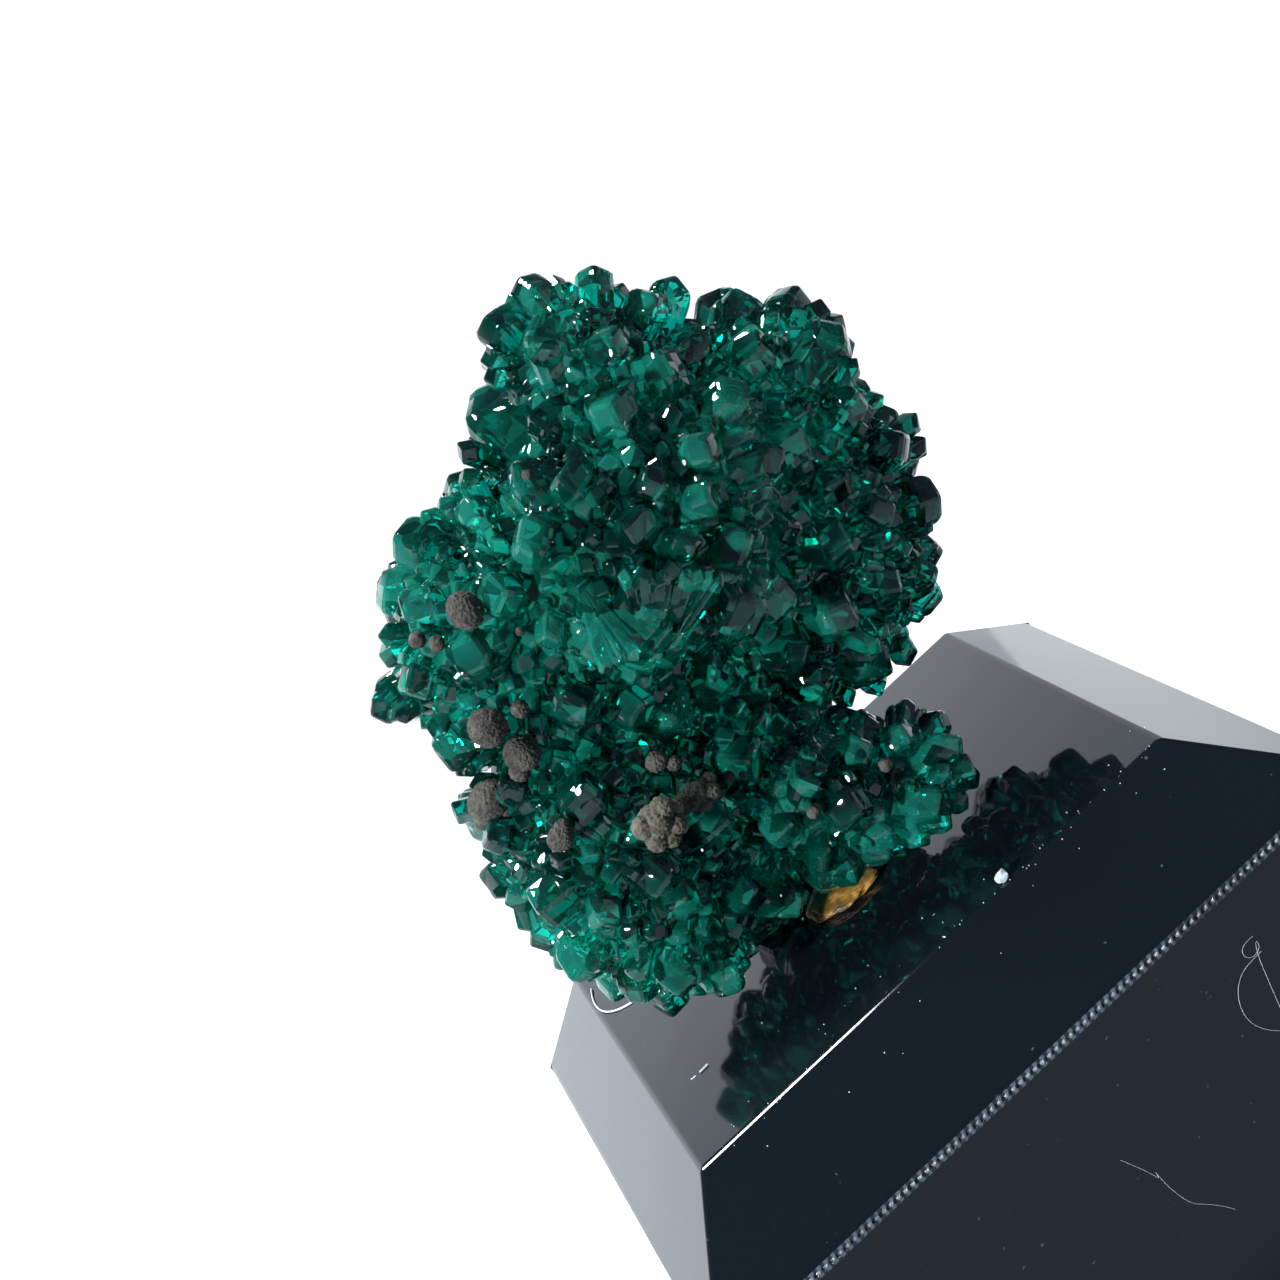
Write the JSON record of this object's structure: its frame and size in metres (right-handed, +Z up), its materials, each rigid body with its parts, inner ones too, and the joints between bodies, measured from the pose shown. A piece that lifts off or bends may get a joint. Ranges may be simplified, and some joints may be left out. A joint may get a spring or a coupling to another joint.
{
  "type": "mineral specimen on display block",
  "caption": "Dioptase crystal cluster with small grey mineral balls, fixed with putty on a square bevelled black acrylic block",
  "frame": {"origin": "Middle of the block's underside.", "axes": "+Z up, +X to the right seen from the show side, show side to -Y."},
  "size_m": [0.032, 0.032, 0.0476],
  "materials": {
    "dioptase": "clear, deep green, flat glassy faces",
    "grey_mineral": "matt, finely granular",
    "putty": "dull, slightly waxy",
    "black_acrylic": "mirror polished"
  },
  "bodies": {
    "root": {"display_block": "black_acrylic", "mounting_putty": "putty", "dioptase_cluster": "dioptase", "grey_ball_top": "grey_mineral", "grey_ball_upper": "grey_mineral", "grey_ball_middle": "grey_mineral", "grey_ball_small": "grey_mineral", "grey_ball_rim": "grey_mineral", "grey_ball_lower": "grey_mineral", "brown_knob_left": "grey_mineral", "brown_knob_right": "grey_mineral", "grey_ball_pair": "grey_mineral"}
  },
  "joints": []
}
